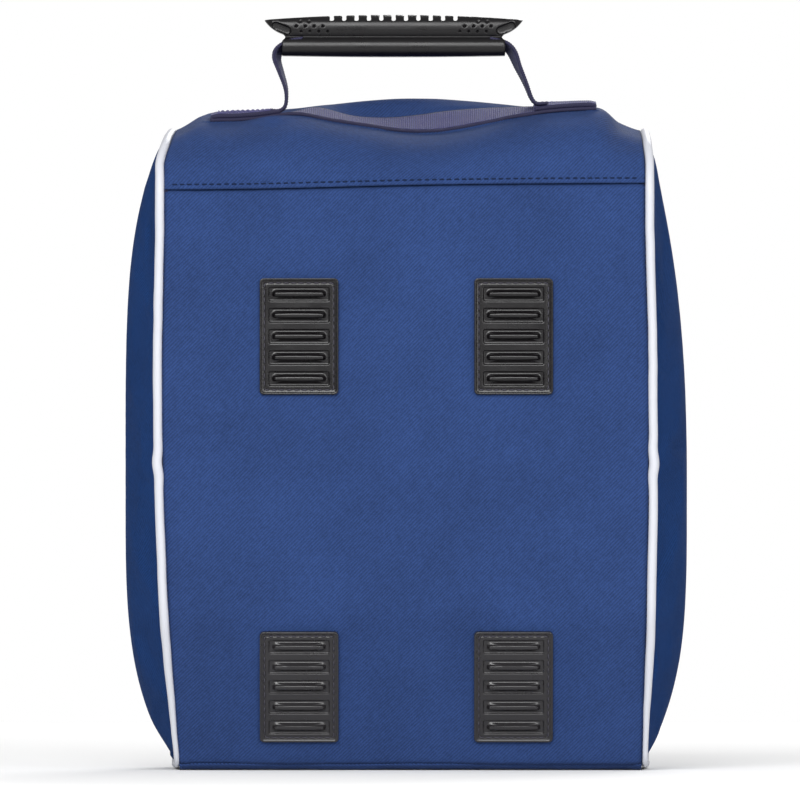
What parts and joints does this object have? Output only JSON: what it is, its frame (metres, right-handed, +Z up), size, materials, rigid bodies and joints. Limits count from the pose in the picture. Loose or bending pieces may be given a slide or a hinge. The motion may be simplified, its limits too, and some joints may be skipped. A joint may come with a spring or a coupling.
{
  "type": "golf shoe bag",
  "caption": "Upright soft shoe bag with bulging sides, corded seams, ribbed rubber feet on its long face, a zipped drop-down lid and a webbing handle with a moulded grip.",
  "frame": {"origin": "on the floor, below the middle of the bag's box", "axes": "+Z up towards the handle, -Y the face with the rubber feet, +Y the lid, +X to the right seen from the feet"},
  "size_m": [0.293, 0.1403, 0.394],
  "materials": {
    "body_fabric": "woven polyester",
    "side_fabric": "woven polyester",
    "lining": "thin smooth polyester",
    "board": "pressed fibre sheet",
    "white_piping": "smooth vinyl cord",
    "binding": "ribbed tape",
    "zip_tape": "woven tape",
    "zip_coil": "nylon coil",
    "zip_metal": "dark enamel",
    "webbing": "ribbed webbing",
    "grip_rubber": "soft moulded",
    "foot_rubber": "soft moulded"
  },
  "bodies": {
    "root": {"back_panel": "body_fabric", "top_panel": "body_fabric", "bottom_panel": "body_fabric", "left_front_border": "body_fabric", "right_front_border": "body_fabric", "top_front_border": "body_fabric", "lower_front_border": "body_fabric", "left_side_panel": "side_fabric", "right_side_panel": "side_fabric", "back_lining": "lining", "top_lining": "lining", "base_lining": "lining", "left_side_lining": "lining", "right_side_lining": "lining", "back_board": "board", "base_board": "board", "left_piping": "white_piping", "right_piping": "white_piping", "left_seam_binding": "binding", "right_seam_binding": "binding", "zip_tape_frame": "zip_tape", "zip_coil_frame": "zip_coil", "zip_end_stops": "zip_coil", "top_webbing": "webbing", "strap_end_left": "webbing", "strap_end_right": "webbing", "foot_upper_left": "foot_rubber", "foot_upper_right": "foot_rubber", "foot_lower_left": "foot_rubber", "foot_lower_right": "foot_rubber"},
    "lid": {"lid_panel": "body_fabric", "lid_board": "board", "lid_lining": "lining", "zip_tape_lid": "zip_tape", "zip_coil_lid": "zip_coil"},
    "left_slider": {"slider_left": "zip_metal"},
    "right_slider": {"slider_right": "zip_metal"},
    "left_pull": {"pull_left": "zip_metal"},
    "right_pull": {"pull_right": "zip_metal"},
    "handle": {"handle_strap": "webbing", "handle_grip": "grip_rubber"}
  },
  "joints": [
    {"name": "lid_hinge", "type": "hinge", "parent": "root", "child": "lid", "pos_m": [0, 0.0652, 0.038], "axis": [-1, 0, 0], "range_deg": [0, 98]},
    {"name": "left_slider_slide", "type": "slide", "parent": "root", "child": "left_slider", "axis": [0, 0, 1], "range_m": [0, 0.212]},
    {"name": "right_slider_slide", "type": "slide", "parent": "root", "child": "right_slider", "axis": [0, 0, 1], "range_m": [0, 0.212]},
    {"name": "left_pull_swing", "type": "hinge", "parent": "left_slider", "child": "left_pull", "pos_m": [-0.1035, 0.0683, 0.0332], "axis": [1, 0, 0], "range_deg": [0, 150]},
    {"name": "right_pull_swing", "type": "hinge", "parent": "right_slider", "child": "right_pull", "pos_m": [0.1035, 0.0683, 0.0332], "axis": [1, 0, 0], "range_deg": [0, 150]},
    {"name": "handle_swing", "type": "hinge", "parent": "root", "child": "handle", "pos_m": [0, -0.016, 0.3465], "axis": [1, 0, 0], "range_deg": [-50, 60]}
  ]
}
